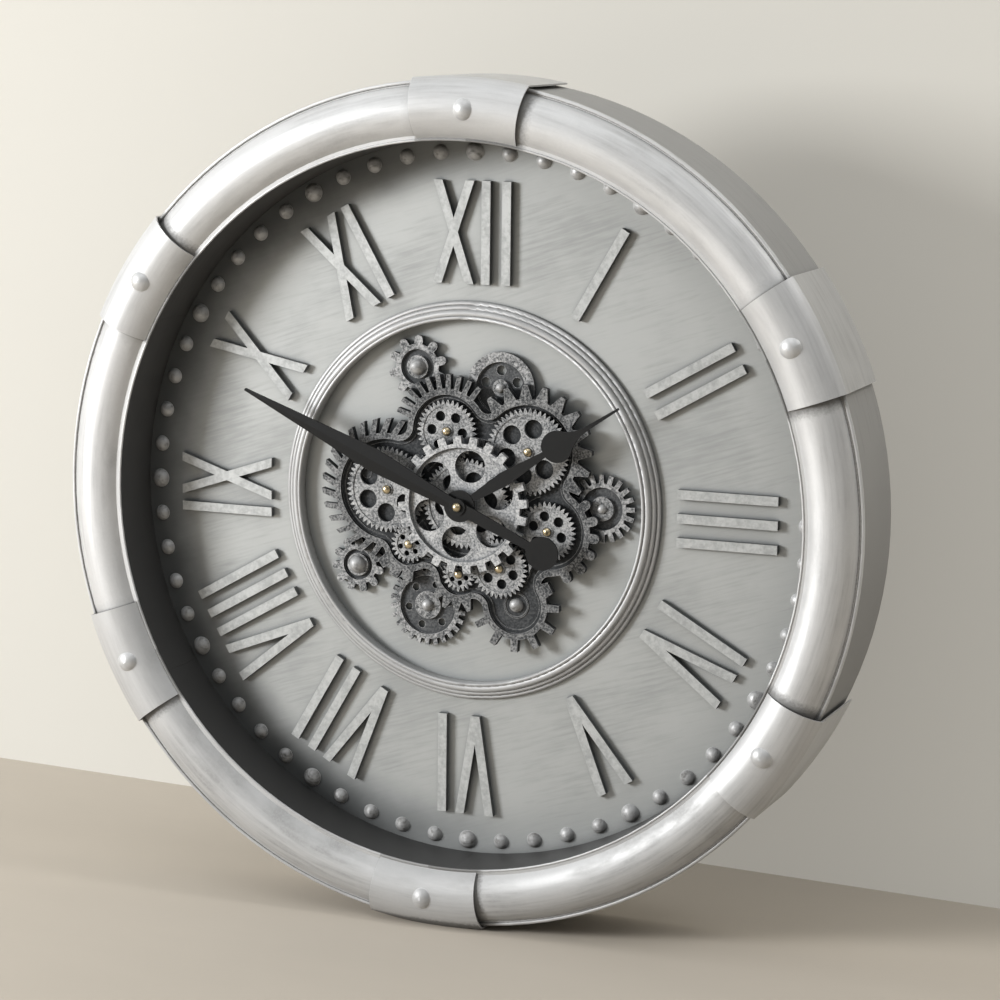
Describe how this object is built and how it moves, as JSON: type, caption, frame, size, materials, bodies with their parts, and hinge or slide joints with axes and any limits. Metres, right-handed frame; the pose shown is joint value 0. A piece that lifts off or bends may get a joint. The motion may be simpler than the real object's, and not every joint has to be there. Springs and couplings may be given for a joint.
{
  "type": "wall clock",
  "caption": "Round skeleton wall clock: deep drum with a half-round bezel and straps, raised Roman bar numerals, and a turning gear train behind matt black hands.",
  "frame": {"origin": "on the hands' axis, half way through the clock's depth", "axes": "front faces -Y, twelve o'clock is +Z, three o'clock is +X"},
  "size_m": [0.6024, 0.0909, 0.6068],
  "materials": {
    "silver_leaf": "antique silver leaf, brushed, satin",
    "drum_grey": "matt grey paint",
    "dial_metal": "brushed grey-green silver, satin",
    "rivet_metal": "aged silver, satin",
    "numeral_metal": "aged silver with dark sides",
    "bed_metal": "dry-brushed pewter over blue-grey",
    "gear_metal": "dry-brushed pewter",
    "brass": "polished",
    "hand_black": "matt black",
    "black_plastic": "moulded",
    "steel": "zinc plated",
    "cell_wrap": "printed sleeve left plain",
    "board": "black hardboard",
    "lead_jacket": "insulated wire"
  },
  "bodies": {
    "case": {"case_drum": "drum_grey", "bezel_tube": "silver_leaf", "inner_wall": "drum_grey", "strap_12": "silver_leaf", "strap_2": "silver_leaf", "strap_4": "silver_leaf", "strap_6": "silver_leaf", "strap_8": "silver_leaf", "strap_10": "silver_leaf", "strap_rivets": "silver_leaf", "dial_plate": "dial_metal", "hour_rivets": "rivet_metal", "minute_rivets": "rivet_metal", "numeral_1": "numeral_metal", "numeral_2": "numeral_metal", "numeral_3": "numeral_metal", "numeral_4": "numeral_metal", "numeral_5": "numeral_metal", "numeral_6": "numeral_metal", "numeral_7": "numeral_metal", "numeral_8": "numeral_metal", "numeral_9": "numeral_metal", "numeral_10": "numeral_metal", "numeral_11": "numeral_metal", "numeral_12": "numeral_metal", "inner_ring": "silver_leaf", "backdrop_disc": "dial_metal", "gear_bed": "bed_metal", "star_gear": "bed_metal", "hoop_ring": "bed_metal", "comb_gear": "bed_metal", "cog_gear": "bed_metal", "dish_gear": "bed_metal", "dome_rivets": "rivet_metal", "gear_posts": "brass", "gear_motor": "steel", "movement_case": "black_plastic", "stem_nut": "brass", "aa_cells": "cell_wrap", "back_panel": "board", "battery_box": "black_plastic", "motor_leads": "lead_jacket", "hanger_plate": "steel", "panel_screws": "steel"},
    "centre_wheels": {"front_wheel": "gear_metal", "drive_wheel": "gear_metal"},
    "top_gear": {"top_gear": "gear_metal"},
    "upper_right_gear": {"upper_right_gear": "gear_metal"},
    "motor_gear": {"left_gear": "gear_metal", "motor_shaft": "brass"},
    "right_gear": {"right_gear": "gear_metal"},
    "lower_right_gear": {"lower_right_gear": "gear_metal"},
    "bottom_pinion": {"bottom_pinion": "gear_metal"},
    "lower_left_pinion": {"lower_left_pinion": "gear_metal"},
    "idler_gear": {"idler_gear": "gear_metal"},
    "hour_hand": {"hour_hand": "hand_black"},
    "minute_hand": {"minute_hand": "hand_black", "hand_nut": "brass"},
    "set_knob": {"set_knob": "black_plastic"},
    "power_switch": {"power_switch": "black_plastic"}
  },
  "joints": [
    {"name": "centre_wheel_spin", "type": "hinge", "parent": "case", "child": "centre_wheels", "pos_m": [0, 0.00145, 0], "axis": [0, 1, 0], "continuous": true},
    {"name": "top_gear_spin", "type": "hinge", "parent": "case", "child": "top_gear", "pos_m": [-0.01517, 0.00415, 0.0512], "axis": [0, 1, 0], "continuous": true},
    {"name": "upper_right_gear_spin", "type": "hinge", "parent": "case", "child": "upper_right_gear", "pos_m": [0.04692, 0.00415, 0.04022], "axis": [0, 1, 0], "continuous": true},
    {"name": "motor_gear_spin", "type": "hinge", "parent": "case", "child": "motor_gear", "pos_m": [-0.0615, 0.00415, 0.00603], "axis": [0, 1, 0], "continuous": true},
    {"name": "right_gear_spin", "type": "hinge", "parent": "case", "child": "right_gear", "pos_m": [0.06224, 0.00415, -0.01575], "axis": [0, 1, 0], "continuous": true},
    {"name": "lower_right_gear_spin", "type": "hinge", "parent": "case", "child": "lower_right_gear", "pos_m": [0.0261, 0.00415, -0.04521], "axis": [0, 1, 0], "continuous": true},
    {"name": "bottom_pinion_spin", "type": "hinge", "parent": "case", "child": "bottom_pinion", "pos_m": [-0.00503, 0.00415, -0.05171], "axis": [0, 1, 0], "continuous": true},
    {"name": "lower_left_pinion_spin", "type": "hinge", "parent": "case", "child": "lower_left_pinion", "pos_m": [-0.04398, 0.00415, -0.03279], "axis": [0, 1, 0], "continuous": true},
    {"name": "idler_gear_spin", "type": "hinge", "parent": "case", "child": "idler_gear", "pos_m": [0.03899, 0.00415, -0.00087], "axis": [0, 1, 0], "continuous": true},
    {"name": "minute_hand_spin", "type": "hinge", "parent": "case", "child": "minute_hand", "pos_m": [0, -0.01255, 0], "axis": [0, 1, 0], "continuous": true},
    {"name": "hour_hand_spin", "type": "hinge", "parent": "case", "child": "hour_hand", "pos_m": [0, -0.00855, 0], "axis": [0, 1, 0], "continuous": true},
    {"name": "set_knob_spin", "type": "hinge", "parent": "case", "child": "set_knob", "pos_m": [0.01, 0.03445, 0.014], "axis": [0, 1, 0], "continuous": true},
    {"name": "power_switch_slide", "type": "slide", "parent": "case", "child": "power_switch", "axis": [0, 0, 1], "range_m": [0, 0.007]}
  ],
  "couplings": [
    {"joint": "top_gear_spin", "follows": "centre_wheel_spin", "ratio": -1.4722},
    {"joint": "upper_right_gear_spin", "follows": "centre_wheel_spin", "ratio": -1.06},
    {"joint": "motor_gear_spin", "follows": "centre_wheel_spin", "ratio": -1.06},
    {"joint": "lower_right_gear_spin", "follows": "centre_wheel_spin", "ratio": -1.5588},
    {"joint": "idler_gear_spin", "follows": "centre_wheel_spin", "ratio": -4.4167},
    {"joint": "right_gear_spin", "follows": "centre_wheel_spin", "ratio": 1.5588},
    {"joint": "bottom_pinion_spin", "follows": "centre_wheel_spin", "ratio": 2.7895},
    {"joint": "lower_left_pinion_spin", "follows": "centre_wheel_spin", "ratio": 2.5238},
    {"joint": "hour_hand_spin", "follows": "minute_hand_spin", "ratio": 0.083333},
    {"joint": "set_knob_spin", "follows": "minute_hand_spin", "ratio": -3}
  ]
}
